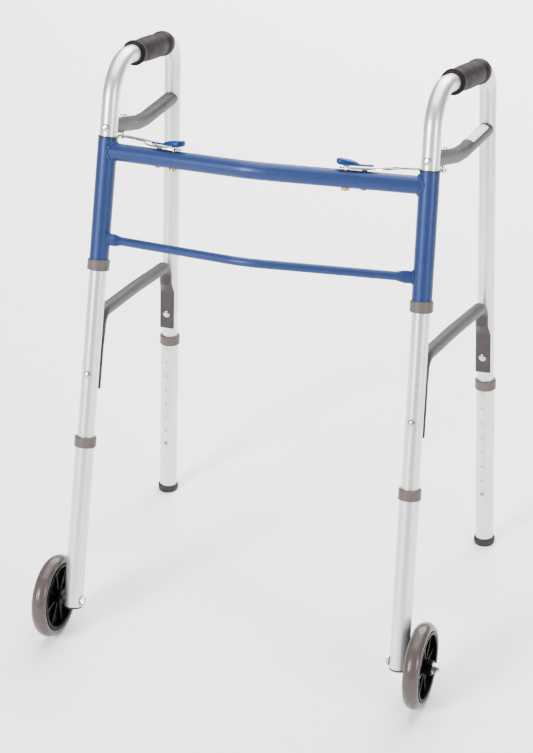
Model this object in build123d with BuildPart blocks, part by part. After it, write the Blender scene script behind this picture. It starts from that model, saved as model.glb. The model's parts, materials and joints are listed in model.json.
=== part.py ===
"""Folding walking frame with two front wheels, one node per physical piece.

Millimetres, +Z up.  The user walks towards -Y.  The origin is on the floor, in the
middle of the frame's footprint box.  Everything on the right (+X) side is modelled
once and mirrored to the left.

The two side frames are flat and drawn on side_plane: x is rearward, y is upward, and
the normal points outward.  Places along a leg are "drops": distances below the top of
the blue sleeve, measured down the leg's own axis.
"""

import os
from math import acos, asin, cos, degrees, hypot, radians, sin

from build123d import *

os.makedirs("parts", exist_ok=True)

# ---------------------------------------------------------------- driving dimensions
TUBE_R = 12.7            # 1 inch aluminium side tube
TUBE_WALL = 1.25
SLEEVE_R = 14.3          # blue sleeves and the telescoping lower legs
RUN = 0.05               # radial running fit of a tube in a tube
GAP = 0.3                # air between parts that move past each other

LEG_SPLAY = 6.16         # each leg leans this far from its side frame's upright
TOP_SPACING = 275.6      # leg to leg at the sleeve's top
SIDE_PITCH = 11.5        # the whole side frame leans back
SIDE_LEAN = 2.43         # and its feet stand outward
SIDE_TOE = 2.56          # and the sides open towards the user
TOP_X = 239.4            # sleeve top on the front leg axis, from the middle plane
TOP_Y = -5.267           # puts the origin in the middle of the footprint box
TOP_Z = 735.4            # its height with the rear legs at their shortest

HANDLE_FRONT_H = 110.5   # handle corner heights above the sleeve top
HANDLE_REAR_H = 104.5
FRONT_BEND_R = 63.5
REAR_BEND_R = 38.0

SLEEVE_DROP = 177.5      # length of the sleeve
UPPER_BAR_DROP = 19.4
LOWER_BAR_DROP = 146.7
UPPER_BOW = 44.0         # crossbars bend forward once, in the middle
LOWER_BOW = 54.0
BAR_BEND_R = 120.0
LOWER_BAR_R = 6.35

SNUG = 0.02              # air between pieces fixed to each other
WALL_DRILL_FROM = 4.0    # a hole through one wall of a leg starts this far off its axis
WALL_DRILL = 20.0
RIVET_R = 2.4
TOP_RIVET_DROP = -14.6
BRACE_RIVET_DROP = 350.0
STRIP_END_DROP = 375.0   # lower brace's flattened ends stop here
COLLAR_LENGTH = 16.0
COLLAR_R = 16.5
FRONT_COLLAR_DROP = 454.6
REAR_COLLAR_DROP = 401.0

HOLE_PITCH = 25.4        # height adjustment holes
HOLE_COUNT = 8
HOLE_R = 3.5
BUTTON_R = 3.2
FIRST_HOLE_BELOW = 12.0  # below the middle of the collar
TAIL_BELOW_BUTTON = 12.0  # inner tube runs on past its snap button

WHEEL_R = 63.5           # 5 inch wheel
TYRE_WIDTH = 24.0
HUB_R = 49.0
WHEEL_OFFSET = 31.5      # wheel centre outboard of the leg axis
AXLE_R = 4.0
TUBE_BELOW_AXLE = 9.0
TIP_R = 17.0
TIP_FLOOR = 6.0          # rubber under the rear leg's end

LINK_RADIUS = 57.0       # link bolt behind the front leg axis
PLUNGER_X = 112.5        # lock plunger inboard of the leg axis, along world X
FOLD_SLOT = 85.0         # degrees of fold that the link's slot allows
RIVET_X = 87.5           # catch rivet inboard of the leg axis


# ---------------------------------------------------------------- frames of reference
outward = Vector(
    cos(radians(SIDE_TOE)) * cos(radians(SIDE_LEAN)),
    -sin(radians(SIDE_TOE)) * cos(radians(SIDE_LEAN)),
    sin(radians(SIDE_LEAN)),
)
pitched_up = Vector(0, sin(radians(SIDE_PITCH)), cos(radians(SIDE_PITCH)))
upright = (pitched_up - outward * pitched_up.dot(outward)).normalized()
rearward = upright.cross(outward)
side_plane = Plane(origin=(TOP_X, TOP_Y, TOP_Z), x_dir=rearward, z_dir=outward)

splay_sin = sin(radians(LEG_SPLAY))
splay_cos = cos(radians(LEG_SPLAY))


def front_at(drop, behind=0.0):
    """Side plane point on the front leg axis, or behind it at a right angle."""
    return (behind * splay_cos - drop * splay_sin, -drop * splay_cos - behind * splay_sin)


def rear_at(drop, ahead=0.0):
    """Side plane point on the rear leg axis, or ahead of it at a right angle."""
    return (
        TOP_SPACING + drop * splay_sin - ahead * splay_cos,
        -drop * splay_cos - ahead * splay_sin,
    )


def leg_plane(at, drop):
    """Plane across a leg: z up the leg, x outward, y rearward."""
    low = side_plane.from_local_coords(at(drop + 1))
    here = side_plane.from_local_coords(at(drop))
    return Plane(origin=here, x_dir=outward, z_dir=here - low)


def facing_plane(at, drop, away, behind):
    """Plane whose normal crosses the leg inside the side plane, `away` mm off its axis."""
    across = leg_plane(at, drop)
    normal = across.y_dir if behind else across.y_dir * -1
    return Plane(origin=across.origin + normal * away, x_dir=outward, z_dir=normal)


# ---------------------------------------------------------------- small helpers
def disc(where, radius, length, mode=Mode.ADD):
    """Round bar from the plane along its normal."""
    with BuildSketch(where) as face:
        Circle(radius)
    extrude(face.sketch, amount=length, mode=mode)


def tube(where, outer, inner, length):
    """Round tube from the plane along its normal."""
    with BuildSketch(where) as face:
        Circle(outer)
        Circle(inner, mode=Mode.SUBTRACT)
    extrude(face.sketch, amount=length)


def turned(where, points):
    """Solid turned about the plane's normal from (radius, height) points."""
    meridian = Plane(origin=where.origin, x_dir=where.x_dir, z_dir=where.y_dir * -1)
    with BuildSketch(meridian) as face:
        with BuildLine():
            Polyline(*points, close=True)
        make_face()
    revolve(face.sketch, axis=Axis(where.origin, where.z_dir))


def drill_wall(at, drop, behind, radius):
    """Hole through the front or the rear wall of a leg."""
    disc(facing_plane(at, drop, WALL_DRILL_FROM, behind), radius, WALL_DRILL, Mode.SUBTRACT)


def save(part, name):
    part.label = name
    export_step(part, f"parts/{name}.step")


def save_pair(part, name):
    """Write the right-hand piece and its mirror image."""
    save(part, f"right_{name}")
    with BuildPart() as left:
        mirror(part, about=Plane.YZ)
    save(left.part, f"left_{name}")


# ---------------------------------------------------------------- adjustment layout
front_holes = FRONT_COLLAR_DROP + FIRST_HOLE_BELOW
rear_holes = REAR_COLLAR_DROP + FIRST_HOLE_BELOW
front_button_drop = front_holes + HOLE_PITCH * (HOLE_COUNT - 1)
rear_button_drop = rear_holes + HOLE_PITCH * (HOLE_COUNT - 1)
front_tail_drop = front_button_drop + TAIL_BELOW_BUTTON
rear_tail_drop = rear_button_drop + TAIL_BELOW_BUTTON

front_up = leg_plane(front_at, 0).z_dir
rear_up = leg_plane(rear_at, 0).z_dir
axle_drop = (TOP_Z - WHEEL_R) / front_up.Z
front_end_drop = axle_drop + TUBE_BELOW_AXLE
rear_top_z = side_plane.from_local_coords(rear_at(0)).Z
floor_drop = rear_top_z / rear_up.Z
rear_end_drop = floor_drop - TIP_FLOOR

# ---------------------------------------------------------------- side tube
front_corner = (HANDLE_FRONT_H * splay_sin / splay_cos, HANDLE_FRONT_H)
rear_corner = (TOP_SPACING - HANDLE_REAR_H * splay_sin / splay_cos, HANDLE_REAR_H)

with BuildPart() as side_tube:
    with BuildLine(side_plane) as tube_path:
        FilletPolyline(
            front_at(front_tail_drop),
            front_corner,
            rear_corner,
            rear_at(rear_tail_drop),
            radius=[FRONT_BEND_R, REAR_BEND_R],
        )
    with BuildSketch(Plane(origin=tube_path.line @ 0, z_dir=tube_path.line % 0)):
        Circle(TUBE_R)
        Circle(TUBE_R - TUBE_WALL, mode=Mode.SUBTRACT)
    sweep(path=tube_path.line)
    for at, drop, behind in (
        (front_at, front_button_drop, True),
        (rear_at, rear_button_drop, False),
    ):
        drill_wall(at, drop, behind, HOLE_R)
    for at, drop, behind in (
        (front_at, TOP_RIVET_DROP, False),
        (front_at, BRACE_RIVET_DROP, False),
        (rear_at, BRACE_RIVET_DROP, True),
        (rear_at, TOP_RIVET_DROP, True),
    ):
        disc(facing_plane(at, drop, -WALL_DRILL, behind), RIVET_R + RUN, 2 * WALL_DRILL, Mode.SUBTRACT)
save_pair(side_tube.part, "side_tube")

# ---------------------------------------------------------------- hand grip
GRIP_START = 88.0        # along the side plane's x
GRIP_END = 228.0
grip_slope = (HANDLE_REAR_H - HANDLE_FRONT_H) / (rear_corner[0] - front_corner[0])
grip_origin = side_plane.from_local_coords(
    (GRIP_START, HANDLE_FRONT_H + grip_slope * (GRIP_START - front_corner[0]))
)
grip_far = side_plane.from_local_coords(
    (GRIP_END, HANDLE_FRONT_H + grip_slope * (GRIP_END - front_corner[0]))
)
grip_plane = Plane(origin=grip_origin, x_dir=outward, z_dir=grip_far - grip_origin)
GRIP_LENGTH = GRIP_END - GRIP_START
GRIP_BORE = TUBE_R + SNUG
FLANGE_R = 18.9          # ring at the front end
FLANGE_END = 11.0        # where the ring has run down into the waist
WAIST_R = 17.0

with BuildPart() as grip:
    meridian = Plane(origin=grip_origin, x_dir=outward, z_dir=grip_plane.y_dir * -1)
    with BuildSketch(meridian):
        with BuildLine():
            Polyline(
                (15.5, GRIP_LENGTH),
                (GRIP_BORE, GRIP_LENGTH),
                (GRIP_BORE, 0),
                (16.0, 0),
                (FLANGE_R, 2.5),
                (FLANGE_R, 7.0),
                (WAIST_R, FLANGE_END),
            )
            Spline(
                (WAIST_R, FLANGE_END),
                (16.6, 20.0),
                (18.3, 52.0),
                (18.5, 80.0),
                (17.2, 108.0),
                (19.4, 124.0),
                (15.5, GRIP_LENGTH),
            )
        make_face()
    revolve(axis=Axis(grip_origin, grip_plane.z_dir))
save_pair(grip.part, "hand_grip")

# ---------------------------------------------------------------- upper side brace
UPPER_BRACE_R = 11.1
UPPER_BRACE_WALL = 1.5
LEG_CUT = 700.0          # longer than any brace is tall
LINK_BOLT_S = 55.0       # link bolt on the side plane, behind the front leg
LINK_BOLT_H = 9.0        # and above the sleeve's top
BOLT_R = 3.0
BRACE_DRILL = 30.0       # half the length of the bolt's hole
BRACE_BEND_R = 70.0


def cut_legs():
    """Cope a brace round both legs."""
    for at in (front_at, rear_at):
        disc(leg_plane(at, front_holes), TUBE_R + SNUG, LEG_CUT, Mode.SUBTRACT)


lock_up = leg_plane(front_at, UPPER_BAR_DROP).z_dir
lock_x = (Vector(1, 0, 0) - lock_up * lock_up.X).normalized()
lock_origin = leg_plane(front_at, UPPER_BAR_DROP).origin
lock_plane = Plane(origin=lock_origin, x_dir=lock_x, z_dir=lock_up)
bolt_mark = lock_plane.to_local_coords(side_plane.from_local_coords((LINK_BOLT_S, LINK_BOLT_H)))
bolt_scale = LINK_RADIUS / hypot(bolt_mark.X, bolt_mark.Y)
bolt_x = bolt_mark.X * bolt_scale
bolt_y = bolt_mark.Y * bolt_scale


def lock_at(x, y, height):
    """Plane across the fold axis direction at a point of the lock."""
    return Plane(
        origin=lock_plane.from_local_coords((x, y, height)), x_dir=lock_x, z_dir=lock_up
    )


with BuildPart() as upper_brace:
    with BuildLine(side_plane) as brace_path:
        FilletPolyline(
            front_at(TOP_RIVET_DROP),
            (62.0, 8.5),
            (118.0, 1.0),
            (150.0, 1.0),
            (214.0, 8.0),
            rear_at(TOP_RIVET_DROP),
            radius=BRACE_BEND_R,
        )
    start = Plane(origin=brace_path.line @ 0, z_dir=brace_path.line % 0)
    with BuildSketch(start):
        Circle(UPPER_BRACE_R)
        Circle(UPPER_BRACE_R - UPPER_BRACE_WALL, mode=Mode.SUBTRACT)
    sweep(path=brace_path.line)
    cut_legs()
    disc(lock_at(bolt_x, bolt_y, 0), BOLT_R + RUN, 2 * BRACE_DRILL, Mode.SUBTRACT)
save_pair(upper_brace.part, "upper_brace")

# ---------------------------------------------------------------- lower side brace
LOWER_BRACE_R = 9.8
LOWER_BRACE_TOP = -263.5
STAND_OFF = TUBE_R + LOWER_BRACE_R + 0.4
ELBOW_R = 22.0
SAG_R = 260.0            # the long bar bends slightly in its middle
SAG_S = 136.0
STRIP_WIDTH = 24.0
STRIP_THICK = 5.6
STRIP_MID = TUBE_R + 2.2
FLATTEN_FROM = 292.0
FLATTEN_TO = 312.0


def corner_of(at):
    """Point at the brace's height on the line that runs beside the leg."""
    on_line = at(0, STAND_OFF)
    sign = -1 if at is front_at else 1
    run = (LOWER_BRACE_TOP - on_line[1]) * splay_sin / splay_cos
    return (on_line[0] - sign * run, LOWER_BRACE_TOP)


with BuildPart() as lower_brace:
    with BuildLine(side_plane) as low_path:
        FilletPolyline(
            front_at(FLATTEN_FROM, STAND_OFF),
            corner_of(front_at),
            (SAG_S, LOWER_BRACE_TOP + 2.0),
            corner_of(rear_at),
            rear_at(FLATTEN_FROM, STAND_OFF),
            radius=[ELBOW_R, SAG_R, ELBOW_R],
        )
    with BuildSketch(Plane(origin=low_path.line @ 0, z_dir=low_path.line % 0)):
        Circle(LOWER_BRACE_R)
    sweep(path=low_path.line)
    for at, sign in ((front_at, 1), (rear_at, -1)):
        shoulder = leg_plane(at, FLATTEN_FROM)
        flat = leg_plane(at, FLATTEN_TO)
        end = leg_plane(at, STRIP_END_DROP)
        with BuildSketch(Plane(
            origin=shoulder.origin + shoulder.y_dir * (sign * STAND_OFF),
            x_dir=outward, z_dir=shoulder.z_dir,
        )) as round_end:
            Circle(LOWER_BRACE_R)
        with BuildSketch(Plane(
            origin=flat.origin + flat.y_dir * (sign * STRIP_MID),
            x_dir=outward, z_dir=flat.z_dir,
        )) as flat_end:
            SlotOverall(STRIP_WIDTH, STRIP_THICK)
        loft([round_end.sketch, flat_end.sketch])
        with BuildSketch(Plane(
            origin=end.origin + end.y_dir * (sign * STRIP_MID),
            x_dir=outward, z_dir=end.z_dir,
        )) as strip:
            SlotOverall(STRIP_WIDTH, STRIP_THICK)
        extrude(strip.sketch, amount=STRIP_END_DROP - FLATTEN_TO)
    cut_legs()
    drill_wall(front_at, BRACE_RIVET_DROP, True, RIVET_R + RUN)
    drill_wall(rear_at, BRACE_RIVET_DROP, False, RIVET_R + RUN)
save_pair(lower_brace.part, "lower_brace")

# ---------------------------------------------------------------- brace rivets
HEAD_R = 5.6
HEAD_T = 2.6


def rivet(at, drop, seat, length, behind):
    """Domed head on its seat, shank running back through the leg."""
    where = facing_plane(at, drop, seat, behind)
    turned(where, [
        (0, -length), (RIVET_R, -length), (RIVET_R, 0), (HEAD_R, 0),
        (HEAD_R, 0.9), (HEAD_R * 0.62, HEAD_T * 0.85), (0, HEAD_T),
    ])


STRIP_FACE = STRIP_MID + STRIP_THICK / 2
RIVET_REACH = 32.0       # shank length, through the leg and what it holds
with BuildPart() as brace_rivets:
    rivet(front_at, TOP_RIVET_DROP, TUBE_R + SNUG, RIVET_REACH, False)
    rivet(front_at, BRACE_RIVET_DROP, TUBE_R + SNUG, RIVET_REACH, False)
    rivet(rear_at, BRACE_RIVET_DROP, STRIP_FACE + SNUG, RIVET_REACH, False)
    rivet(rear_at, TOP_RIVET_DROP, TUBE_R + SNUG, RIVET_REACH, True)
save_pair(brace_rivets.part, "brace_rivets")

# ---------------------------------------------------------------- sleeve, bush, collar
with BuildPart() as sleeve:
    tube(leg_plane(front_at, SLEEVE_DROP), SLEEVE_R, TUBE_R + RUN, SLEEVE_DROP)
save_pair(sleeve.part, "front_sleeve")

BUSH_HEIGHT = 2.4
with BuildPart() as bush:
    tube(leg_plane(front_at, -SNUG), SLEEVE_R + 0.5, TUBE_R + RUN, BUSH_HEIGHT)
    chamfer(bush.edges().group_by(SortBy.LENGTH)[-1], 0.7)
save_pair(bush.part, "sleeve_bush")

with BuildPart() as stop_collar:
    tube(
        leg_plane(front_at, SLEEVE_DROP + GAP + COLLAR_LENGTH),
        COLLAR_R, TUBE_R + SNUG, COLLAR_LENGTH,
    )
    chamfer(stop_collar.edges().group_by(SortBy.LENGTH)[-1], 1.2)
save_pair(stop_collar.part, "stop_collar")


# ---------------------------------------------------------------- crossbars
def bar_plane(drop):
    """Plane of a crossbar: x to the right, y rearward, through both leg axes."""
    here = leg_plane(front_at, drop)
    up = Vector(0, here.z_dir.Y, here.z_dir.Z)
    return Plane(origin=(0, here.origin.Y, here.origin.Z), x_dir=(1, 0, 0), z_dir=up)


def sleeve_x(drop):
    return leg_plane(front_at, drop).origin.X


COPE_REACH = 60.0


def cut_sleeves(drop):
    """Cope a bar's ends to the sleeves."""
    right = leg_plane(front_at, drop + COPE_REACH)
    left_origin = Vector(-right.origin.X, right.origin.Y, right.origin.Z)
    left_up = Vector(-right.z_dir.X, right.z_dir.Y, right.z_dir.Z)
    disc(right, SLEEVE_R + SNUG, 2 * COPE_REACH, Mode.SUBTRACT)
    disc(Plane(origin=left_origin, z_dir=left_up), SLEEVE_R + SNUG, 2 * COPE_REACH, Mode.SUBTRACT)


PIN_R = 4.0              # lock plunger in the bar
CATCH_R = 2.6            # catch rivet in the bar
UPPER_BAR_WALL = 1.6
BAR_DRILL = 30.0         # half the length of a hole through the bar
PLUNGER_FIT = 0.08


def bar_y(inboard):
    """How far behind the leg axes the upper bar runs, at a place inboard of one."""
    return -UPPER_BOW * inboard / sleeve_x(UPPER_BAR_DROP)


with BuildPart() as upper_crossbar:
    half = sleeve_x(UPPER_BAR_DROP)
    with BuildLine(bar_plane(UPPER_BAR_DROP)) as bar_path:
        FilletPolyline((-half, 0), (0, -UPPER_BOW), (half, 0), radius=BAR_BEND_R)
    with BuildSketch(Plane(origin=bar_path.line @ 0, z_dir=bar_path.line % 0)):
        Circle(TUBE_R)
        Circle(TUBE_R - UPPER_BAR_WALL, mode=Mode.SUBTRACT)
    sweep(path=bar_path.line)
    cut_sleeves(UPPER_BAR_DROP)
    for inboard, radius in ((PLUNGER_X, PIN_R + PLUNGER_FIT), (RIVET_X, CATCH_R + RUN)):
        right_hole = lock_at(-inboard, bar_y(inboard), -BAR_DRILL)
        disc(right_hole, radius, 2 * BAR_DRILL, Mode.SUBTRACT)
        hole = right_hole.origin
        lean = right_hole.z_dir
        left_hole = Plane(
            origin=(-hole.X, hole.Y, hole.Z), z_dir=Vector(-lean.X, lean.Y, lean.Z)
        )
        disc(left_hole, radius, 2 * BAR_DRILL, Mode.SUBTRACT)
save(upper_crossbar.part, "upper_crossbar")

CRIMP_TALL = 18.0
CRIMP_THICK = 6.0
CRIMP_START = 2.0        # inside the sleeve, before it is coped
CRIMP_FLAT = 26.0        # flat length, from the leg axis
CRIMP_ROUND = 38.0       # the bar is round again here

with BuildPart() as lower_crossbar:
    half = sleeve_x(LOWER_BAR_DROP)
    low_plane = bar_plane(LOWER_BAR_DROP)
    run = hypot(half, LOWER_BOW)
    bar_dx = half / run
    bar_dy = LOWER_BOW / run

    def along(distance, side):
        """Point of the bar's centreline, a distance in from a leg axis."""
        return (side * (half - distance * bar_dx), -distance * bar_dy)

    with BuildLine(low_plane) as low_bar_path:
        FilletPolyline(
            along(CRIMP_ROUND, -1), (0, -LOWER_BOW), along(CRIMP_ROUND, 1),
            radius=BAR_BEND_R,
        )
    with BuildSketch(Plane(origin=low_bar_path.line @ 0, z_dir=low_bar_path.line % 0)):
        Circle(LOWER_BAR_R)
    sweep(path=low_bar_path.line)
    for side in (-1, 1):
        inward = (
            low_plane.x_dir * (-side * bar_dx) - low_plane.y_dir * bar_dy
        ).normalized()
        sections = []
        for distance, tall, thick in (
            (CRIMP_START, CRIMP_TALL, CRIMP_THICK),
            (CRIMP_FLAT, CRIMP_TALL, CRIMP_THICK),
            (CRIMP_ROUND, 2 * LOWER_BAR_R, 2 * LOWER_BAR_R),
        ):
            where = Plane(
                origin=low_plane.from_local_coords(along(distance, side)),
                x_dir=low_plane.z_dir, z_dir=inward,
            )
            with BuildSketch(where) as section:
                Ellipse(tall / 2, thick / 2)
            sections.append(section.sketch)
        loft(sections[:2])
        loft(sections[1:])
    cut_sleeves(LOWER_BAR_DROP)
save(lower_crossbar.part, "lower_crossbar")

# ---------------------------------------------------------------- fold lock
LINK_BASE = 17.0         # height of the link's underside above the leg axis point
LINK_THICK = 2.0
LINK_HALF = 7.0
SLOT_HALF = 4.4
plunger_y = bar_y(PLUNGER_X)
slot_centre = (bolt_x - PLUNGER_X, bolt_y + plunger_y)
slot_start = degrees(asin(-bolt_y / LINK_RADIUS))
if bolt_x > 0:
    slot_start = -180 - slot_start
link_floor = lock_at(0, 0, LINK_BASE)

with BuildLine() as slot_arc:
    CenterArc(slot_centre, LINK_RADIUS, slot_start, FOLD_SLOT)
slot_wire = slot_arc.wire()
with BuildLine() as arm:
    Line(slot_wire @ 1, (bolt_x, bolt_y))

with BuildPart() as lock_link:
    with BuildSketch(link_floor) as outline:
        SlotArc(slot_wire, 2 * LINK_HALF)
        SlotArc(arm.wire(), 2 * LINK_HALF)
        SlotArc(slot_wire, 2 * SLOT_HALF, mode=Mode.SUBTRACT)
        with Locations((bolt_x, bolt_y)):
            Circle(BOLT_R + 0.08, mode=Mode.SUBTRACT)
    extrude(outline.sketch, amount=LINK_THICK)
save_pair(lock_link.part, "lock_link")

TIP_R_LINK = 1.5         # black end cap of the link
TIP_OUT = LINK_HALF + TIP_R_LINK + 0.1

with BuildPart() as link_tip:
    tip_mid = slot_wire @ 0
    tip_run = (slot_wire % 0) * -1
    with BuildSketch(link_floor) as cap:
        with Locations(tip_mid + tip_run * TIP_OUT):
            Circle(TIP_R_LINK)
    extrude(cap.sketch, amount=LINK_THICK)
    chamfer(link_tip.edges().group_by(Axis((0, 0, 0), lock_up))[-1], 0.5)
save_pair(link_tip.part, "link_tip")

brace_top = lock_at(bolt_x, bolt_y, 0)
BOLT_TOP = 46.6          # the bolt comes through the brace and ends in a low nut
BOLT_HEAD_R = 6.4
BOLT_NUT_R = 5.2
with BuildPart() as link_bolt:
    turned(brace_top, [
        (0, LINK_BASE - 3.6), (BOLT_HEAD_R * 0.6, LINK_BASE - 3.4),
        (BOLT_HEAD_R, LINK_BASE - 1.8), (BOLT_HEAD_R, LINK_BASE - GAP),
        (BOLT_R, LINK_BASE - GAP), (BOLT_R, BOLT_TOP),
        (BOLT_NUT_R, BOLT_TOP), (BOLT_NUT_R, BOLT_TOP + 2.2), (3.6, BOLT_TOP + 3.0),
        (0, BOLT_TOP + 3.0),
    ])
save_pair(link_bolt.part, "link_bolt")

PLUNGER_TRAVEL = 2.0
PADDLE_BASE = LINK_BASE + LINK_THICK + GAP + PLUNGER_TRAVEL
PADDLE_THICK = 3.2
NECK_R = 3.9
plunger_axis = lock_at(-PLUNGER_X, plunger_y, 0)
BAR_RISE = PLUNGER_X * abs(lock_up.X)
FOOT_R = 5.8             # the plunger's foot under the bar
with BuildPart() as plunger:
    under = BAR_RISE - TUBE_R - 0.4
    turned(plunger_axis, [
        (0, under - 3.4), (4.6, under - 3.4), (FOOT_R, under - 2.6), (FOOT_R, under),
        (PIN_R, under), (PIN_R, LINK_BASE - PLUNGER_TRAVEL - 1.2), (NECK_R, LINK_BASE - 2.6),
        (NECK_R, PADDLE_BASE - SNUG), (0, PADDLE_BASE - SNUG),
    ])
save_pair(plunger.part, "lock_plunger")

PADDLE_IN = 14.0         # paddle reaches this far inboard of the plunger
PADDLE_OUT = 38.0        # and this far outboard
PADDLE_HALF = 10.0
TAIL_WIDTH = 12.0
upper_span = sleeve_x(UPPER_BAR_DROP)
bar_angle = degrees(acos(upper_span / hypot(upper_span, UPPER_BOW)))
with BuildPart() as release_paddle:
    paddle_plane = Plane(
        origin=plunger_axis.origin + lock_up * PADDLE_BASE,
        x_dir=lock_x.rotate(Axis((0, 0, 0), lock_up), bar_angle), z_dir=lock_up,
    )
    with BuildSketch(paddle_plane) as pad:
        with Locations(((PADDLE_OUT - 1) / 2, 0)):
            RectangleRounded(PADDLE_OUT + 1, TAIL_WIDTH, 3)
        with Locations((0, 0)):
            RectangleRounded(2 * PADDLE_IN, 2 * PADDLE_HALF, 5)
    extrude(pad.sketch, amount=PADDLE_THICK)
    chamfer(release_paddle.edges().group_by(Axis((0, 0, 0), lock_up))[-1], 0.7)
save_pair(release_paddle.part, "release_paddle")

catch_axis = lock_at(-RIVET_X, bar_y(RIVET_X), 0)
CATCH_RISE = RIVET_X * abs(lock_up.X)
CATCH_HEAD_R = 4.4
CATCH_SEAT = 0.12
with BuildPart() as catch_rivet:
    top = CATCH_RISE + TUBE_R + CATCH_SEAT
    low = CATCH_RISE - TUBE_R - CATCH_SEAT
    turned(catch_axis, [
        (0, low - 1.3), (3.6, low - 1.0), (CATCH_HEAD_R, low), (CATCH_R, low),
        (CATCH_R, top), (CATCH_HEAD_R, top), (3.6, top + 0.9), (0, top + 1.2),
    ])
save_pair(catch_rivet.part, "catch_rivet")


# ---------------------------------------------------------------- lower legs
TUBE_PAST_COLLAR = 4.0   # the tube ends this far above the middle of its collar


def lower_leg(at, collar, end, first_hole, behind):
    """Outer tube that slides over the side tube, with its row of holes."""
    tube(leg_plane(at, end), SLEEVE_R, TUBE_R + RUN, end - collar + TUBE_PAST_COLLAR)
    for index in range(HOLE_COUNT):
        drop = first_hole + index * HOLE_PITCH
        drill_wall(at, drop, behind, HOLE_R)


def leg_collar(at, collar):
    """Plastic collar at the top of a lower leg."""
    base = leg_plane(at, collar + COLLAR_LENGTH / 2)
    lip = COLLAR_LENGTH / 2 + TUBE_PAST_COLLAR + SNUG
    turned(base, [
        (SLEEVE_R + SNUG, 0), (COLLAR_R - 0.8, 0), (COLLAR_R, 0.8),
        (COLLAR_R, COLLAR_LENGTH - 1.4), (COLLAR_R - 1.4, COLLAR_LENGTH),
        (TUBE_R + RUN, COLLAR_LENGTH), (TUBE_R + RUN, lip), (SLEEVE_R + SNUG, lip),
    ])


axle_plane = Plane(
    origin=leg_plane(front_at, axle_drop).origin, x_dir=(0, 1, 0), z_dir=(1, 0, 0)
)

with BuildPart() as front_leg:
    lower_leg(front_at, FRONT_COLLAR_DROP, front_end_drop, front_holes, True)
    disc(axle_plane.offset(-WALL_DRILL), AXLE_R + RUN, 2 * WALL_DRILL, Mode.SUBTRACT)
save_pair(front_leg.part, "front_leg_tube")

with BuildPart() as rear_leg:
    lower_leg(rear_at, REAR_COLLAR_DROP, rear_end_drop, rear_holes, False)
save_pair(rear_leg.part, "rear_leg_tube")

with BuildPart() as front_collar:
    leg_collar(front_at, FRONT_COLLAR_DROP)
save_pair(front_collar.part, "front_leg_collar")

with BuildPart() as rear_collar:
    leg_collar(rear_at, REAR_COLLAR_DROP)
save_pair(rear_collar.part, "rear_leg_collar")

PLUG_FLANGE = 3.0
PLUG_DEPTH = 4.2
with BuildPart() as front_plug:
    disc(leg_plane(front_at, front_end_drop + PLUG_FLANGE + SNUG), SLEEVE_R + 0.4, PLUG_FLANGE)
    chamfer(front_plug.edges().group_by(Axis((0, 0, 0), front_up))[0], 1.2)
    disc(leg_plane(front_at, front_end_drop + SNUG), TUBE_R, PLUG_DEPTH)
save_pair(front_plug.part, "front_leg_plug")

TIP_BELOW = 5.0          # the tip is drawn this far past the floor, then cut level
tip_seat = TIP_BELOW + TIP_FLOOR - SNUG
with BuildPart() as rear_tip:
    turned(leg_plane(rear_at, floor_drop + TIP_BELOW), [
        (0, 0), (13.6, 0), (TIP_R - 0.8, 5.0), (TIP_R + 0.2, 9.0), (TIP_R + 0.2, 13.6),
        (TIP_R - 0.8, 15.6), (SLEEVE_R + SNUG, 16.2), (SLEEVE_R + SNUG, tip_seat),
        (0, tip_seat),
    ])
    split(bisect_by=Plane.XY, keep=Keep.TOP)
save_pair(rear_tip.part, "rear_tip")


# ---------------------------------------------------------------- snap buttons
BUTTON_OUT = 16.4        # button end, from the leg axis
BUTTON_FLANGE = 10.1     # the flange stays inside the side tube
FLANGE_BACK = 8.9
BUTTON_FLANGE_R = 5.0


def snap_button(at, drop, behind):
    """Round-nosed button on a flange."""
    turned(facing_plane(at, drop, 0, behind), [
        (0, FLANGE_BACK), (BUTTON_FLANGE_R, FLANGE_BACK), (BUTTON_FLANGE_R, BUTTON_FLANGE),
        (BUTTON_R, BUTTON_FLANGE), (BUTTON_R, BUTTON_OUT - 1.2), (2.1, BUTTON_OUT - 0.2),
        (0, BUTTON_OUT),
    ])


with BuildPart() as front_button:
    snap_button(front_at, front_button_drop, True)
save_pair(front_button.part, "front_snap_button")

with BuildPart() as rear_button:
    snap_button(rear_at, rear_button_drop, False)
save_pair(rear_button.part, "rear_snap_button")

# ---------------------------------------------------------------- wheels
HUB_LENGTH = 30.5
HUB_INNER = 12.5         # boss length on the leg's side of the wheel's middle
HUB_BOSS_R = 11.0
HUB_BORE_R = AXLE_R + 0.09
RIBS = 8
RIM_HALF = 8.2
RIM_THICK = 2.6
WEB_HALF = 1.8           # closed web in the middle of the wheel
RIB_HALF = 7.0
RIB_WIDTH = 2.8
wheel_plane = axle_plane.offset(WHEEL_OFFSET)

with BuildPart() as tyre:
    half = TYRE_WIDTH / 2
    turned(wheel_plane, [
        (HUB_R + SNUG, -half + 3.6), (HUB_R + 2.2, -half + 2.4), (HUB_R + 4.0, -half + 0.6),
        (HUB_R + 6.6, -half), (WHEEL_R - 5.2, -half + 1.1), (WHEEL_R - 2.4, -half + 3.8),
        (WHEEL_R - 0.7, -half + 7.4), (WHEEL_R, -half + 11.0), (WHEEL_R, half - 11.0),
        (WHEEL_R - 0.7, half - 7.4), (WHEEL_R - 2.4, half - 3.8), (WHEEL_R - 5.2, half - 1.1),
        (HUB_R + 6.6, half), (HUB_R + 4.0, half - 0.6), (HUB_R + 2.2, half - 2.4),
        (HUB_R + SNUG, half - 3.6),
    ])
save_pair(tyre.part, "tyre")

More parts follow.
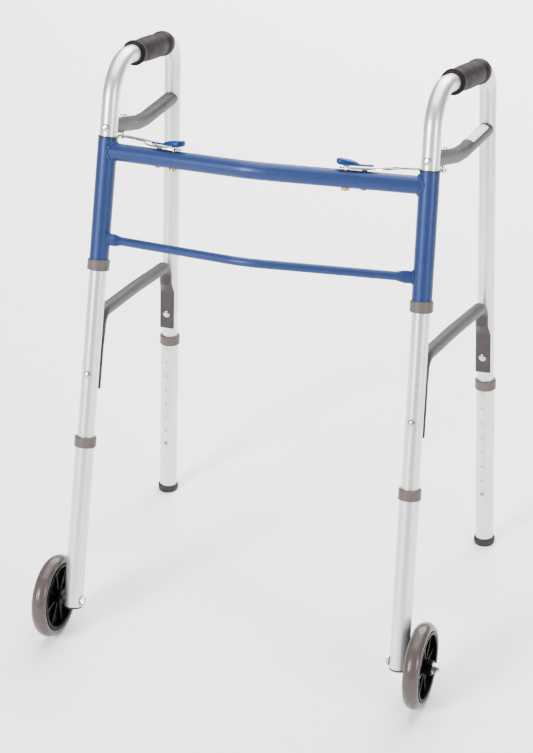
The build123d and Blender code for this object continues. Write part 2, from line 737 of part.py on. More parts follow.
with BuildPart() as hub:
    tube(wheel_plane.offset(-RIM_HALF), HUB_R, HUB_R - RIM_THICK, 2 * RIM_HALF)
    disc(wheel_plane.offset(-WEB_HALF), HUB_R - RIM_THICK / 2, 2 * WEB_HALF)
    disc(wheel_plane.offset(-HUB_INNER), HUB_BOSS_R, HUB_LENGTH)
    with BuildSketch(wheel_plane.offset(-RIB_HALF)) as ribs:
        with PolarLocations((HUB_R + HUB_BOSS_R) / 2 - RIM_THICK / 2, RIBS):
            Rectangle(HUB_R - HUB_BOSS_R - RIM_THICK / 2, RIB_WIDTH)
    extrude(ribs.sketch, amount=2 * RIB_HALF)
    disc(wheel_plane.offset(-HUB_LENGTH), HUB_BORE_R, 2 * HUB_LENGTH, Mode.SUBTRACT)
save_pair(hub.part, "wheel_hub")

HUB_FACE = WHEEL_OFFSET + HUB_LENGTH - HUB_INNER
BOLT_HEAD_HEX = 6.9      # hexagon corner radii
BOLT_HEAD_T = 3.2
NUT_HEX = 7.4
WASHER_R = 8.2
WASHER_T = 1.2
SPACER_R = 7.5
SPACER_GAP = 0.4
BOLT_PAST_HUB = 12.0
with BuildPart() as axle_bolt:
    with BuildSketch(axle_plane.offset(-SLEEVE_R - WASHER_T - BOLT_HEAD_T)) as hexagon:
        RegularPolygon(BOLT_HEAD_HEX, 6)
    extrude(hexagon.sketch, amount=BOLT_HEAD_T)
    disc(axle_plane.offset(-SLEEVE_R - WASHER_T), WASHER_R, WASHER_T - GAP)
    disc(axle_plane.offset(-SLEEVE_R - 2.0), AXLE_R, SLEEVE_R + HUB_FACE + BOLT_PAST_HUB)
save_pair(axle_bolt.part, "axle_bolt")

with BuildPart() as axle_spacer:
    tube(
        axle_plane.offset(SLEEVE_R + SPACER_GAP), SPACER_R, AXLE_R + SNUG,
        HUB_FACE - HUB_LENGTH - SLEEVE_R - SPACER_GAP - GAP,
    )
save_pair(axle_spacer.part, "axle_spacer")

with BuildPart() as axle_nut:
    disc(axle_plane.offset(HUB_FACE + GAP), WASHER_R + 0.4, WASHER_T)
    with BuildSketch(axle_plane.offset(HUB_FACE + GAP + WASHER_T)) as nut:
        RegularPolygon(NUT_HEX, 6)
    extrude(nut.sketch, amount=5.6)
    disc(axle_plane.offset(HUB_FACE), AXLE_R + SNUG, BOLT_PAST_HUB, Mode.SUBTRACT)
save_pair(axle_nut.part, "axle_nut")
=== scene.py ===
import json
import math

import bmesh
import bpy
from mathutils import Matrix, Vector


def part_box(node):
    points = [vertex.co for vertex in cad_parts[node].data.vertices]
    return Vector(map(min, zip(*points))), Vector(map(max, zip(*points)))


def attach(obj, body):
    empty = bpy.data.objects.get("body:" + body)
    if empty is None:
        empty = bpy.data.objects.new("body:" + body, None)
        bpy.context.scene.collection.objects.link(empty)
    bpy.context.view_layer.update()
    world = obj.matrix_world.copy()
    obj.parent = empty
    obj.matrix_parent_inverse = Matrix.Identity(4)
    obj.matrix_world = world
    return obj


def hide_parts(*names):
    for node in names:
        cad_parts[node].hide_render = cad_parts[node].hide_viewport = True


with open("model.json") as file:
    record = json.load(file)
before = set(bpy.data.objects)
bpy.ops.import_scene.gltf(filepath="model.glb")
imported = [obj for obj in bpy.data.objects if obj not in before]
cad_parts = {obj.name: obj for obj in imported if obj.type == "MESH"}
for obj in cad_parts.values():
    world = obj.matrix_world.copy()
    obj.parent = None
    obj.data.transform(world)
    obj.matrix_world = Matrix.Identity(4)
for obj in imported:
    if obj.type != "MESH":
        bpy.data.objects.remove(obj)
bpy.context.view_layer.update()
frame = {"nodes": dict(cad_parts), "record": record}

SIDES = (("right", 1), ("left", -1))
SLOTS = {s["node"]: s["material_slot"] for s in frame["record"]["subparts"]}


# ------------------------------------------------------------------ camera, floor, light
CAMERA_PLACE = (0.86049, -2.27287, 1.75054)
CAMERA_TURN = (60.4707, 2.0696, 19.8441)   # degrees about X, Y and Z


def make_camera():
    """The photograph's viewpoint: from the front right, looking down about 30 degrees."""
    data = bpy.data.cameras.new("camera")
    camera = bpy.data.objects.new("camera", data)
    bpy.context.scene.collection.objects.link(camera)
    camera.location = CAMERA_PLACE
    camera.rotation_euler = [math.radians(angle) for angle in CAMERA_TURN]
    data.sensor_width = 36
    data.lens = 89.2
    data.clip_start = 0.05
    data.clip_end = 60
    bpy.context.scene.camera = camera


def make_floor():
    """A wide pale floor."""
    mesh = bpy.data.meshes.new("floor")
    half = 9.0
    mesh.from_pydata(
        [(-half, -half, 0), (half, -half, 0), (half, half, 0), (-half, half, 0)],
        [], [(0, 1, 2, 3)],
    )
    floor = bpy.data.objects.new("floor", mesh)
    bpy.context.scene.collection.objects.link(floor)
    mat = bpy.data.materials.new("pale_floor")
    mat.use_nodes = True
    shader = mat.node_tree.nodes["Principled BSDF"]
    shader.inputs["Base Color"].default_value = (0.93, 0.93, 0.93, 1)
    shader.inputs["Roughness"].default_value = 0.9
    shader.inputs["Specular IOR Level"].default_value = 0.1
    mesh.materials.append(mat)


def area_light(name, place, target, size, power):
    data = bpy.data.lights.new(name, "AREA")
    data.shape = "RECTANGLE"
    data.size, data.size_y = size
    data.energy = power
    light = bpy.data.objects.new(name, data)
    light.location = place
    aim = Vector(target) - Vector(place)
    light.rotation_euler = aim.to_track_quat("-Z", "Y").to_euler()
    bpy.context.scene.collection.objects.link(light)


def make_lights():
    world = bpy.data.worlds.new("studio")
    world.use_nodes = True
    sky = world.node_tree.nodes["Background"]
    sky.inputs["Color"].default_value = (1.0, 1.0, 1.0, 1)
    sky.inputs["Strength"].default_value = 0.26
    bpy.context.scene.world = world
    middle = (0, 0, 0.45)
    area_light("key", (-1.9, -3.7, 2.3), middle, (1.1, 1.7), 400)
    area_light("fill", (3.4, -1.6, 1.5), middle, (0.7, 1.4), 110)
    area_light("top", (0.0, 1.2, 4.2), (0, 0.9, 0), (4.4, 4.4), 380)
    area_light("back_wash", (0.0, 5.6, 3.6), (-0.2, 5.2, 0), (5.0, 5.0), 1100)


# ------------------------------------------------------------------ materials
class Recipe:
    """One material's node tree, with short names for what the recipes below use."""

    def __init__(self, name):
        self.material = bpy.data.materials.new(name)
        self.material.use_nodes = True
        self.tree = self.material.node_tree
        self.shader = self.tree.nodes["Principled BSDF"]
        self.coords = self.add("ShaderNodeTexCoord").outputs["Object"]

    def add(self, kind):
        return self.tree.nodes.new(kind)

    def link(self, out, into):
        self.tree.links.new(out, into)

    def set(self, **values):
        for key, value in values.items():
            self.shader.inputs[key.replace("_", " ")].default_value = value

    def stretched(self, scale):
        """Object coordinates scaled per axis."""
        node = self.add("ShaderNodeMapping")
        node.inputs["Scale"].default_value = scale
        self.link(self.coords, node.inputs["Vector"])
        return node.outputs["Vector"]

    def noise(self, scale, detail=4.0, rough=0.55, vector=None):
        node = self.add("ShaderNodeTexNoise")
        node.inputs["Scale"].default_value = scale
        node.inputs["Detail"].default_value = detail
        node.inputs["Roughness"].default_value = rough
        self.link(vector or self.coords, node.inputs["Vector"])
        return node.outputs["Fac"]

    def cells(self, scale):
        node = self.add("ShaderNodeTexVoronoi")
        node.inputs["Scale"].default_value = scale
        self.link(self.coords, node.inputs["Vector"])
        return node

    def spread(self, fac, low, high, start=0.3, end=0.7):
        """Map a factor from start..end to low..high."""
        node = self.add("ShaderNodeMapRange")
        node.inputs["From Min"].default_value = start
        node.inputs["From Max"].default_value = end
        node.inputs["To Min"].default_value = low
        node.inputs["To Max"].default_value = high
        self.link(fac, node.inputs["Value"])
        return node.outputs["Result"]

    def mixed(self, fac, first, second):
        node = self.add("ShaderNodeMix")
        node.data_type = "RGBA"
        self.link(fac, node.inputs[0])
        for value, socket in ((first, node.inputs[6]), (second, node.inputs[7])):
            if isinstance(value, tuple):
                socket.default_value = (*value, 1)
            else:
                self.link(value, socket)
        return node.outputs[2]

    def convex_edge_mask(self, start=0.60, end=0.70):
        """A mask that is bright on convex edges."""
        geometry = self.add("ShaderNodeNewGeometry")
        return self.spread(geometry.outputs["Pointiness"], 0.0, 1.0, start, end)

    def product(self, first, second):
        node = self.add("ShaderNodeMath")
        node.operation = "MULTIPLY"
        self.link(first, node.inputs[0])
        self.link(second, node.inputs[1])
        return node.outputs["Value"]

    def bump(self, height, strength, distance=0.0004, normal=None):
        node = self.add("ShaderNodeBump")
        node.inputs["Strength"].default_value = strength
        node.inputs["Distance"].default_value = distance
        self.link(height, node.inputs["Height"])
        if normal is not None:
            self.link(normal, node.inputs["Normal"])
        self.link(node.outputs["Normal"], self.shader.inputs["Normal"])
        return node.outputs["Normal"]

    def paint(self, colour, roughness=None):
        self.link(colour, self.shader.inputs["Base Color"])
        if roughness is not None:
            self.link(roughness, self.shader.inputs["Roughness"])


def anodised_aluminium():
    """Satin silver tube: very fine drawn lines along it and faint handling marks."""
    r = Recipe("anodised_aluminium")
    r.set(Metallic=0.8)
    drawn = r.noise(60, 3, 0.6, r.stretched((24, 24, 0.9)))
    cloud = r.noise(9, 3)
    tone = r.mixed(r.spread(cloud, 0, 1), (0.62, 0.62, 0.615), (0.67, 0.67, 0.66))
    marks = r.spread(r.noise(210, 2, 0.5, r.stretched((1, 1, 0.12))), 0, 1, 0.66, 0.74)
    r.paint(r.mixed(marks, tone, (0.55, 0.55, 0.55)), r.spread(drawn, 0.30, 0.44))
    r.bump(drawn, 0.10, 0.0001)
    return r.material


def blue_enamel():
    """Metallic blue paint under clear lacquer, with orange peel and fine flakes."""
    r = Recipe("blue_enamel")
    r.set(Metallic=0.30, Specular_IOR_Level=0.2, Coat_Weight=0.05, Coat_Roughness=0.12)
    flakes = r.cells(1900)
    sparkle = r.spread(flakes.outputs["Distance"], 0, 1, 0.05, 0.45)
    cloud = r.spread(r.noise(90, 3), 0, 1)
    body = r.mixed(cloud, (0.0116, 0.0255, 0.0924), (0.0134, 0.0297, 0.1047))
    glint = r.mixed(sparkle, (0.0323, 0.0554, 0.1540), body)
    worn = r.product(r.convex_edge_mask(0.66, 0.76), r.spread(r.noise(70, 4), 0, 1, 0.5, 0.68))
    r.paint(r.mixed(worn, glint, (0.0770, 0.1155, 0.2464)), r.spread(r.noise(300, 2), 0.38, 0.50))
    r.bump(r.noise(160, 3, 0.5), 0.22, 0.00025)
    return r.material


def grey_enamel():
    """Warm grey satin powder coat with its fine pebbled skin."""
    r = Recipe("grey_enamel")
    r.set(Metallic=0.0, Specular_IOR_Level=0.2)
    body = r.mixed(r.spread(r.noise(60, 4), 0, 1), (0.0328, 0.0282, 0.0273), (0.0391, 0.0337, 0.0328))
    scuffs = r.spread(r.noise(130, 3, 0.6, r.stretched((0.3, 1, 1))), 0, 1, 0.64, 0.72)
    r.paint(r.mixed(scuffs, body, (0.0510, 0.0446, 0.0428)), r.spread(r.noise(420, 2), 0.42, 0.56))
    r.bump(r.noise(620, 2, 0.5), 0.35, 0.0002)
    return r.material


def grip_vinyl():
    """Dark taupe moulded vinyl with a leathery grain; convex edges painted lighter than the hollows,
    a painted highlight that also stands for polish by hands.
    """
    r = Recipe("grip_vinyl")
    r.set(Specular_IOR_Level=0.06)
    grain = r.cells(900)
    cloud = r.spread(r.noise(40, 4), 0, 1)
    body = r.mixed(cloud, (0.0111, 0.0078, 0.0078), (0.0153, 0.0111, 0.0109))
    # painted highlight: convex rings and lips painted lighter taupe, partly also hand polish
    highlight_and_rubbing = r.product(r.convex_edge_mask(0.51, 0.56), r.spread(r.noise(90, 3), 0.2, 1))
    r.paint(r.mixed(highlight_and_rubbing, body, (0.0347, 0.0269, 0.0252)), r.spread(r.noise(60, 3), 0.50, 0.64))
    inner = r.bump(r.noise(260, 3), 0.25, 0.0003)
    r.bump(grain.outputs["Distance"], 0.30, 0.0003, inner)
    return r.material


def moulded(name, dark, light, rough, grain=500, strength=0.2, coat=0.0, shine=0.25):
    """Moulded plastic or rubber with a mottled tone and a fine moulded grain."""
    r = Recipe(name)
    r.set(Coat_Weight=coat, Coat_Roughness=0.15, Specular_IOR_Level=shine)
    body = r.mixed(r.spread(r.noise(55, 4), 0, 1), dark, light)
    lifted = tuple(c * 1.2 + 0.003 for c in light)
    worn = r.product(r.convex_edge_mask(0.70, 0.80), r.spread(r.noise(120, 3), 0, 1, 0.45, 0.7))
    r.paint(r.mixed(worn, body, lifted), r.spread(r.noise(150, 3), rough - 0.05, rough + 0.05))
    r.bump(r.noise(grain, 3), strength, 0.0002)
    return r.material


def plated(name, dark, light, rough, scratch=(1, 1, 1)):
    """Plated or turned metal with fine lines and darker stains."""
    r = Recipe(name)
    r.set(Metallic=1.0)
    lines = r.noise(520, 3, 0.6, r.stretched(scratch))
    tone = r.mixed(r.spread(r.noise(170, 4), 0, 1), dark, light)
    r.paint(tone, r.spread(lines, rough - 0.08, rough + 0.10))
    r.bump(lines, 0.12, 0.0001)
    return r.material


def label_paper():
    """Blank white label: film with a faint weave of wrinkles and soiled patches."""
    r = Recipe("label_paper")
    r.set(Coat_Weight=0.3, Coat_Roughness=0.3)
    soil = r.spread(r.noise(80, 4), 0, 1, 0.55, 0.8)
    tone = r.mixed(soil, (0.86, 0.86, 0.87), (0.72, 0.72, 0.71))
    r.paint(tone, r.spread(r.noise(200, 2), 0.35, 0.5))
    r.bump(r.noise(120, 2), 0.15, 0.0003)
    return r.material


def make_materials():
    return {
        "anodised_aluminium": anodised_aluminium(),
        "blue_enamel": blue_enamel(),
        "grey_enamel": grey_enamel(),
        "grip_vinyl": grip_vinyl(),
        "grey_plastic": moulded(
            "grey_plastic", (0.0697, 0.0584, 0.0536), (0.0811, 0.0687, 0.0632), 0.44
        ),
        "black_plastic": moulded(
            "black_plastic", (0.012, 0.012, 0.013), (0.020, 0.020, 0.021), 0.45
        ),
        "blue_plastic": moulded(
            "blue_plastic", (0.0003, 0.0195, 0.0920), (0.0005, 0.0250, 0.1170), 0.34,
            grain=300, strength=0.05, coat=0.02, shine=0.14,
        ),
        "tip_rubber": moulded(
            "tip_rubber", (0.013, 0.0115, 0.012), (0.018, 0.0165, 0.017), 0.58,
            grain=700, strength=0.35,
        ),
        "tyre_rubber": moulded(
            "tyre_rubber", (0.0539, 0.0413, 0.0396), (0.0593, 0.0458, 0.0441), 0.27,
            grain=260, strength=0.015, coat=0.12, shine=0.2,
        ),
        "black_gloss": moulded(
            "black_gloss", (0.0015, 0.0015, 0.0018), (0.0026, 0.0026, 0.003), 0.40,
            grain=240, strength=0.04, shine=0.06,
        ),
        "brass": plated("brass", (0.46, 0.235, 0.075), (0.62, 0.345, 0.13), 0.32),
        "zinc": plated("zinc", (0.38, 0.38, 0.37), (0.56, 0.56, 0.55), 0.24),
        "dark_steel": plated("dark_steel", (0.13, 0.13, 0.135), (0.21, 0.21, 0.215), 0.40),
        "label_paper": label_paper(),
    }


# ------------------------------------------------------------------ mesh helpers
def new_object(name, verts, faces, material, body):
    mesh = bpy.data.meshes.new(name)
    mesh.from_pydata([tuple(v) for v in verts], [], faces)
    work = bmesh.new()
    work.from_mesh(mesh)
    bmesh.ops.recalc_face_normals(work, faces=work.faces)
    work.to_mesh(mesh)
    work.free()
    mesh.polygons.foreach_set("use_smooth", [True] * len(mesh.polygons))
    mesh.materials.append(material)
    piece = bpy.data.objects.new(name, mesh)
    bpy.context.scene.collection.objects.link(piece)
    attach(piece, body)
    return piece


def lathe(centre, axis, side, profile, segments):
    """Closed turned surface: profile is a list of (radius, height along the axis)."""
    axis = axis.normalized()
    across = (side - axis * side.dot(axis)).normalized()
    third = axis.cross(across)
    verts = []
    for index in range(segments):
        angle = 2 * math.pi * index / segments
        ray = across * math.cos(angle) + third * math.sin(angle)
        for radius, height in profile:
            verts.append(centre + axis * height + ray * radius)
    rows = len(profile)
    faces = []
    for index in range(segments):
        after = (index + 1) % segments
        for row in range(rows):
            below = (row + 1) % rows
            faces.append((
                index * rows + row, after * rows + row,
                after * rows + below, index * rows + below,
            ))
    return verts, faces


def smooth_profile(points, steps=5):
    """Catmull-Rom points through an open list of (radius, height)."""
    out = []
    for index in range(len(points) - 1):
        p0 = points[max(index - 1, 0)]
        p1, p2 = points[index], points[index + 1]
        p3 = points[min(index + 2, len(points) - 1)]
        for step in range(steps):
            t = step / steps
            out.append(tuple(
                0.5 * (2 * b + (c - a) * t + (2 * a - 5 * b + 4 * c - d) * t * t
                       + (3 * b - a - 3 * c + d) * t ** 3)
                for a, b, c, d in zip(p0, p1, p2, p3)
            ))
    out.append(points[-1])
    return out


def mid_of(node):
    low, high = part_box(node)
    return (low + high) / 2


def dress_cad(materials):
    """Every CAD node gets its slot's material."""
    for name, node in frame["nodes"].items():
        node.data.materials.clear()
        node.data.materials.append(materials[SLOTS[name]])


# ------------------------------------------------------------------ places on the part (m)
TOE, LEAN = math.radians(2.56), math.radians(2.43)
PITCH, SPLAY = math.radians(11.5), math.radians(6.16)
TOP = Vector((0.2394, -0.005267, 0.7354))
OUTWARD = Vector((
    math.cos(TOE) * math.cos(LEAN), -math.sin(TOE) * math.cos(LEAN), math.sin(LEAN),
))
PITCHED = Vector((0, math.sin(PITCH), math.cos(PITCH)))
UPRIGHT = (PITCHED - OUTWARD * PITCHED.dot(OUTWARD)).normalized()
REARWARD = UPRIGHT.cross(OUTWARD)
LEG_UP = (UPRIGHT * math.cos(SPLAY) + REARWARD * math.sin(SPLAY)).normalized()
MM = 0.001

# measures of the part in mm, from the sleeve's top or along its own line
REAR_LEG_BEHIND = 275.6
ARCH_TOP = 110.5          # the side tube's straight top starts this high
ARCH_START = 11.9         # and this far behind the sleeve
ARCH_SLOPE = -6.0 / 263.0
GRIP_FROM, GRIP_TO = 88, 228
UPPER_BAR_DROP, UPPER_BAR_BOW = 19.4, 44.0
LOWER_BAR_DROP, LOWER_BAR_BOW = 146.7, 54.0
BAR_HALF = 239.9          # half of the upper crossbar's length
PLUNGER_IN = 112.5        # lock plunger, inboard of the leg's axis
PADDLE_BASE = 21.3        # paddle's underside above the crossbar's axis
FRONT_FIRST_HOLE, REAR_FIRST_HOLE = 466.6, 413.0
HOLE_PITCH, HOLES = 25.4, 8
BRACE_FROM, BRACE_TO = (150, 1.0), (274, 14.5)
LABEL_AT, LABEL_LONG = 24, 78
LABEL_WRAP = 52           # degrees to each side of the brace's top
LABEL_OUTER, LABEL_INNER = 11.28, 11.12

def side_point(s, h):
    """Point of the right side plane: s mm rearward, h mm up from the sleeve's top."""
    return TOP + REARWARD * (s * MM) + UPRIGHT * (h * MM)


def arch_point(s):
    """Point on the axis of the side tube's straight top, s mm rearward."""
    return side_point(s, ARCH_TOP + ARCH_SLOPE * (s - ARCH_START))


def leg_point(drop):
    """Point on the right front leg's axis, mm below the sleeve's top."""
    return TOP - LEG_UP * (drop * MM)


def to_side(verts, sign):
    """Mirror right-hand points to the left side."""
    return [Vector((v.x * sign, v.y, v.z)) for v in verts]


# ------------------------------------------------------------------ new pieces
def make_grips(materials):
    """Moulded grips: thin lip, front ring, waist, palm swell, rear ring, parting line."""
    start = arch_point(GRIP_FROM)
    axis = (arch_point(GRIP_TO) - start).normalized()
    around = 128
    outer = smooth_profile([
        (13.4, 0.0), (14.6, -0.6), (15.2, 0.6), (16.6, 1.4), (18.2, 3.0), (18.7, 5.6),
        (18.1, 8.6), (17.0, 11.0), (16.5, 15.0), (16.7, 22.0), (17.5, 34.0), (18.2, 52.0),
        (18.5, 70.0), (18.3, 88.0), (17.6, 101.0), (17.1, 108.0), (17.8, 113.0),
        (19.0, 118.0), (19.4, 124.0), (19.0, 130.0), (17.8, 135.4), (15.6, 138.6),
        (13.3, 139.8),
    ], 4)
    profile = [(12.74, 139.6), (12.74, 0.2)] + outer
    profile = [(a * MM, b * MM) for a, b in profile]

    def palm(angle, height):
        """Slightly oval, with the mould's parting line on both sides."""
        line = math.exp(-((abs(math.sin(angle)) - 1) ** 2) / 0.0006)
        oval = 0.012 * math.cos(2 * angle)
        edge = min(1.0, max(0.0, (height - 0.010) / 0.02), max(0.0, (0.132 - height) / 0.02))
        return 1.0 + edge * (oval + 0.010 * line)

    verts, faces = lathe(start, axis, OUTWARD, profile, around)
    rows = len(profile)
    shaped = []
    for index, vert in enumerate(verts):
        row = index % rows
        angle = 2 * math.pi * (index // rows) / around
        height = profile[row][1]
        if row < 2:
            shaped.append(vert)
            continue
        middle = start + axis * height
        shaped.append(middle + (vert - middle) * palm(angle, height))
    for name, sign in SIDES:
        piece = new_object(
            f"{name}_grip_moulding", to_side(shaped, sign), faces,
            materials["grip_vinyl"], f"{name}_side_frame",
        )
        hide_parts(f"{name}_hand_grip")


def make_tyres(materials):
    """Round solid tyres with a centre seam and a thin lip round the hub."""
    half = [
        (49.03, 0.0), (49.03, 7.6), (49.7, 8.1), (51.2, 8.8), (52.1, 9.7), (52.7, 10.7),
        (53.9, 11.4), (55.6, 11.75), (57.8, 11.1), (59.7, 9.7), (61.3, 7.7), (62.5, 5.2),
        (63.2, 2.6), (63.32, 0.6), (63.45, 0.35), (63.45, 0.0),
    ]
    outer = smooth_profile(half[1:14], 4)
    loop = [half[0]] + outer + half[14:]
    ring = loop + [(a, -b) for a, b in reversed(loop[1:-1])]
    ring = [(a * MM, b * MM) for a, b in ring]
    for name, sign in SIDES:
        centre = mid_of(f"{name}_tyre")
        verts, faces = lathe(centre, Vector((1, 0, 0)), Vector((0, 1, 0)), ring, 160)
        piece = new_object(
            f"{name}_tyre_moulding", verts, faces, materials["tyre_rubber"],
            f"{name}_wheel",
        )
        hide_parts(f"{name}_tyre")


def make_rims(materials):
    """Black rim flanges that fill the step between the hub's rim and the tyre's side."""
    section = [
        (46.6, 8.25), (48.8, 8.25), (49.6, 8.75), (50.9, 9.5), (51.6, 10.4), (51.6, 11.2),
        (51.1, 11.6), (47.3, 11.6), (46.6, 11.1),
    ]
    for name, sign in SIDES:
        centre = mid_of(f"{name}_tyre")
        verts, faces = [], []
        for facing in (1, -1):
            ring = [(a * MM, b * MM * facing) for a, b in section]
            base = len(verts)
            points, quads = lathe(centre, Vector((1, 0, 0)), Vector((0, 1, 0)), ring, 144)
            verts += points
            faces += [tuple(base + corner for corner in quad) for quad in quads]
        new_object(
            f"{name}_rim_flanges", verts, faces, materials["black_gloss"],
            f"{name}_wheel",
        )


def bead_ring(origin, along, up, sleeve_axis, semi_a, semi_b, size, ripples):
    """Weld bead where an oval bar meets a sleeve: a rippled cord round the joint."""
    side = along.cross(up).normalized()
    radius = 14.45 * MM
    root = 13.4 * MM
    steps = ripples * 8
    around = 10
    path = []
    for index in range(steps):
        angle = 2 * math.pi * index / steps
        offset = up * (semi_a * math.cos(angle)) + side * (semi_b * math.sin(angle))
        run = along - sleeve_axis * along.dot(sleeve_axis)
        off = offset - sleeve_axis * offset.dot(sleeve_axis)
        a, b, c = run.dot(run), 2 * run.dot(off), off.dot(off) - radius * radius
        reach = (-b + math.sqrt(max(b * b - 4 * a * c, 0))) / (2 * a)
        path.append((origin + offset + along * reach, offset.normalized()))
    verts, faces = [], []
    for index, (point, out) in enumerate(path):
        ahead = (path[(index + 1) % steps][0] - path[index - 1][0]).normalized()
        out = (out - ahead * out.dot(ahead)).normalized()
        across = ahead.cross(out)
        phase = 2 * math.pi * index / 8
        swell = size * (1 + 0.13 * math.sin(phase) + 0.07 * math.sin(index * 0.37))
        for step in range(around):
            turn = 2 * math.pi * step / around
            vert = point + (out * math.cos(turn) + across * math.sin(turn)) * swell
            reach = vert - origin
            reach -= sleeve_axis * reach.dot(sleeve_axis)
            if reach.length < root:
                vert += reach.normalized() * (root - reach.length)
            verts.append(vert)
    for index in range(steps):
        after = (index + 1) % steps
        for step in range(around):
            beside = (step + 1) % around
            faces.append((
                index * around + step, after * around + step,
                after * around + beside, index * around + beside,
            ))
    return verts, faces


def make_welds(materials):
    """Beads where both crossbars meet the sleeves: bar's half height and half depth, bead."""
    for label, drop, bow, semi_a, semi_b, size, ripples in (
        ("upper", UPPER_BAR_DROP, UPPER_BAR_BOW, 12.7, 12.7, 2.3, 17),
        ("lower", LOWER_BAR_DROP, LOWER_BAR_BOW, 9.0, 3.0, 1.6, 11),
    ):
        place = leg_point(drop)
        forward = Vector((0, -LEG_UP.z, LEG_UP.y)).normalized()
        centre = Vector((0, place.y, place.z)) + forward * (bow * MM)
        along = (centre - place).normalized()
        up = (LEG_UP - along * LEG_UP.dot(along)).normalized()
        verts, faces = bead_ring(
            place, along, up, LEG_UP, semi_a * MM, semi_b * MM, size * MM, ripples
        )
        for name, sign in SIDES:
            new_object(
                f"{name}_{label}_weld", to_side(verts, sign), faces,
                materials["blue_enamel"], "front_frame",
            )


def make_paddles(materials):
    """Release paddle: thick thumb pad that slopes up inboard, running out to a flat tail."""
    lock_x = (Vector((1, 0, 0)) - LEG_UP * LEG_UP.x).normalized()
    lock_y = LEG_UP.cross(lock_x)
    forward = UPPER_BAR_BOW * PLUNGER_IN / BAR_HALF
    plunger = leg_point(UPPER_BAR_DROP) - lock_x * (PLUNGER_IN * MM) - lock_y * (forward * MM)
    plunger += LEG_UP * (PADDLE_BASE * MM)
    turn = math.atan2(UPPER_BAR_BOW, BAR_HALF)
    run = lock_x * math.cos(turn) + lock_y * math.sin(turn)
    across = LEG_UP.cross(run)
    stations = [
        (-14.2, 0.8, 5.0, 6.5), (-13.7, 4.4, 3.4, 8.6), (-12.4, 7.4, 2.0, 9.8),
        (-10.2, 9.2, 1.0, 10.4), (-6.5, 10.0, 0.3, 10.3), (-1.5, 10.2, 0.0, 9.6),
        (4.0, 10.2, 0.0, 8.6), (8.5, 9.8, 0.0, 7.5), (12.0, 8.9, 0.0, 6.4),
        (14.5, 7.6, 0.0, 5.2), (16.5, 6.2, 0.0, 3.8), (19.0, 5.4, 0.0, 2.8),
        (26.0, 5.4, 0.0, 2.5), (32.0, 6.0, 0.0, 2.9), (35.4, 5.6, 0.0, 2.8),
        (37.3, 4.0, 0.2, 2.5), (38.0, 1.2, 0.7, 2.0),
    ]
    finer = []
    for index in range(len(stations) - 1):
        for step in range(3):
            t = step / 3
            finer.append(tuple(
                a + (b - a) * t for a, b in zip(stations[index], stations[index + 1])
            ))
    finer.append(stations[-1])
    around = 28
    verts, faces = [], []
    for place, half, low, high in finer:
        middle, tall = (low + high) / 2, (high - low) / 2
        dish = 0.55 * math.exp(-((place + 3) / 7.5) ** 2)
        for step in range(around):
            angle = 2 * math.pi * step / around
            c, s = math.cos(angle), math.sin(angle)
            width = half * math.copysign(abs(c) ** 0.62, c)
            height = middle + tall * math.copysign(abs(s) ** 0.62, s)
            if s > 0:
                height -= dish * max(0.0, 1 - (width / max(half, 0.01)) ** 2)
            verts.append(
                plunger + run * (place * MM) + across * (width * MM) + LEG_UP * (height * MM)
            )
    rings = len(finer)
    for ring in range(rings - 1):
        for step in range(around):
            beside = (step + 1) % around
            faces.append((
                ring * around + step, (ring + 1) * around + step,
                (ring + 1) * around + beside, ring * around + beside,
            ))
    faces.append(tuple(range(around)))
    faces.append(tuple((rings - 1) * around + step for step in range(around)))
    for name, sign in SIDES:
        piece = new_object(
            f"{name}_paddle_moulding", to_side(verts, sign), faces,
            materials["blue_plastic"], f"{name}_release",
        )
        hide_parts(f"{name}_release_paddle")


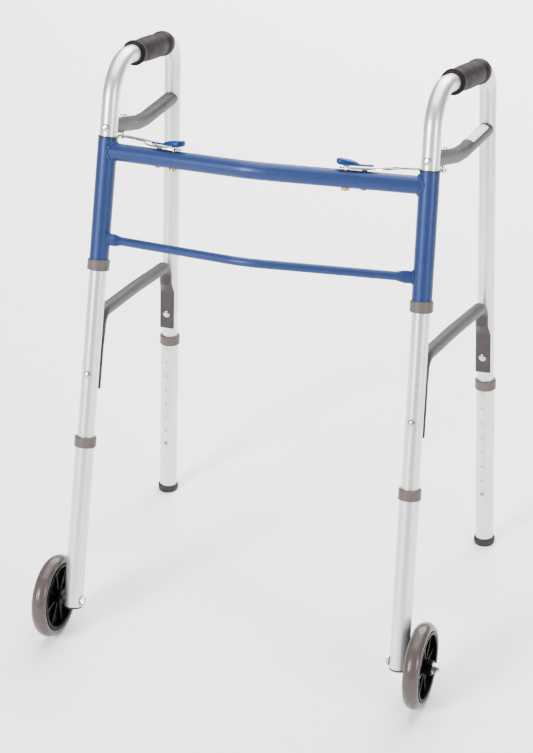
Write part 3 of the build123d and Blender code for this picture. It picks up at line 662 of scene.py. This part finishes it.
def make_hole_rims(materials):
    """Cut walls of the height holes."""
    rear_up = (UPRIGHT * math.cos(SPLAY) - REARWARD * math.sin(SPLAY)).normalized()
    corners = ((3.27, 12.95), (3.46, 12.95), (3.46, 13.80), (3.27, 13.80))
    around = 28
    for label, top, up, facing, first in (
        ("front", side_point(0, 0), LEG_UP, 1, FRONT_FIRST_HOLE),
        ("rear", side_point(REAR_LEG_BEHIND, 0), rear_up, -1, REAR_FIRST_HOLE),
    ):
        back = OUTWARD.cross(up)
        back = back * math.copysign(1, back.dot(REARWARD)) * facing
        verts, faces = [], []
        for index in range(HOLES):
            hole = top - up * ((first + HOLE_PITCH * index) * MM)
            base = len(verts)
            for step in range(around):
                angle = 2 * math.pi * step / around
                ray = OUTWARD * math.cos(angle) + up * math.sin(angle)
                for radius, depth in corners:
                    verts.append(hole + back * (depth * MM) + ray * (radius * MM))
            for step in range(around):
                near, far = base + 4 * step, base + 4 * ((step + 1) % around)
                for corner in range(4):
                    beside = (corner + 1) % 4
                    faces.append((near + corner, far + corner, far + beside, near + beside))
        for name, sign in SIDES:
            new_object(
                f"{name}_{label}_hole_rims", to_side(verts, sign), faces,
                materials["anodised_aluminium"], f"{name}_{label}_leg",
            )


def make_label(materials):
    """Blank white label wrapped over the right upper brace."""
    start = side_point(*BRACE_FROM)
    axis = (side_point(*BRACE_TO) - start).normalized()
    up = (UPRIGHT - axis * UPRIGHT.dot(axis)).normalized()
    side = axis.cross(up)
    long_steps, wrap_steps = 24, 18
    verts, faces = [], []
    for lift in (LABEL_OUTER, LABEL_INNER):
        for i in range(long_steps + 1):
            t = i / long_steps
            corner = min(t, 1 - t) * LABEL_LONG
            shrink = 0.86 + 0.14 * math.sqrt(min(corner / 2.5, 1.0))
            for j in range(wrap_steps + 1):
                angle = math.radians(LABEL_WRAP * (2 * j / wrap_steps - 1)) * shrink
                ray = up * math.cos(angle) + side * math.sin(angle)
                place = start + axis * ((LABEL_AT + LABEL_LONG * t) * MM)
                verts.append(place + ray * (lift * MM))
    row = wrap_steps + 1
    layer = row * (long_steps + 1)
    for i in range(long_steps):
        for j in range(wrap_steps):
            a = i * row + j
            faces.append((a, a + 1, a + row + 1, a + row))
            b = a + layer
            faces.append((b, b + row, b + row + 1, b + 1))
    rim = list(range(row))
    rim += [i * row + wrap_steps for i in range(1, long_steps + 1)]
    rim += [long_steps * row + j for j in range(wrap_steps - 1, -1, -1)]
    rim += [i * row for i in range(long_steps - 1, 0, -1)]
    for index, a in enumerate(rim):
        b = rim[(index + 1) % len(rim)]
        faces.append((a, b, b + layer, a + layer))
    new_object(
        "right_brace_label", verts, faces, materials["label_paper"],
        "right_side_frame",
    )


# ------------------------------------------------------------------ run
make_camera()
make_floor()
make_lights()
MATERIALS = make_materials()
dress_cad(MATERIALS)
make_grips(MATERIALS)
make_tyres(MATERIALS)
make_rims(MATERIALS)
make_welds(MATERIALS)
make_paddles(MATERIALS)
make_hole_rims(MATERIALS)
make_label(MATERIALS)
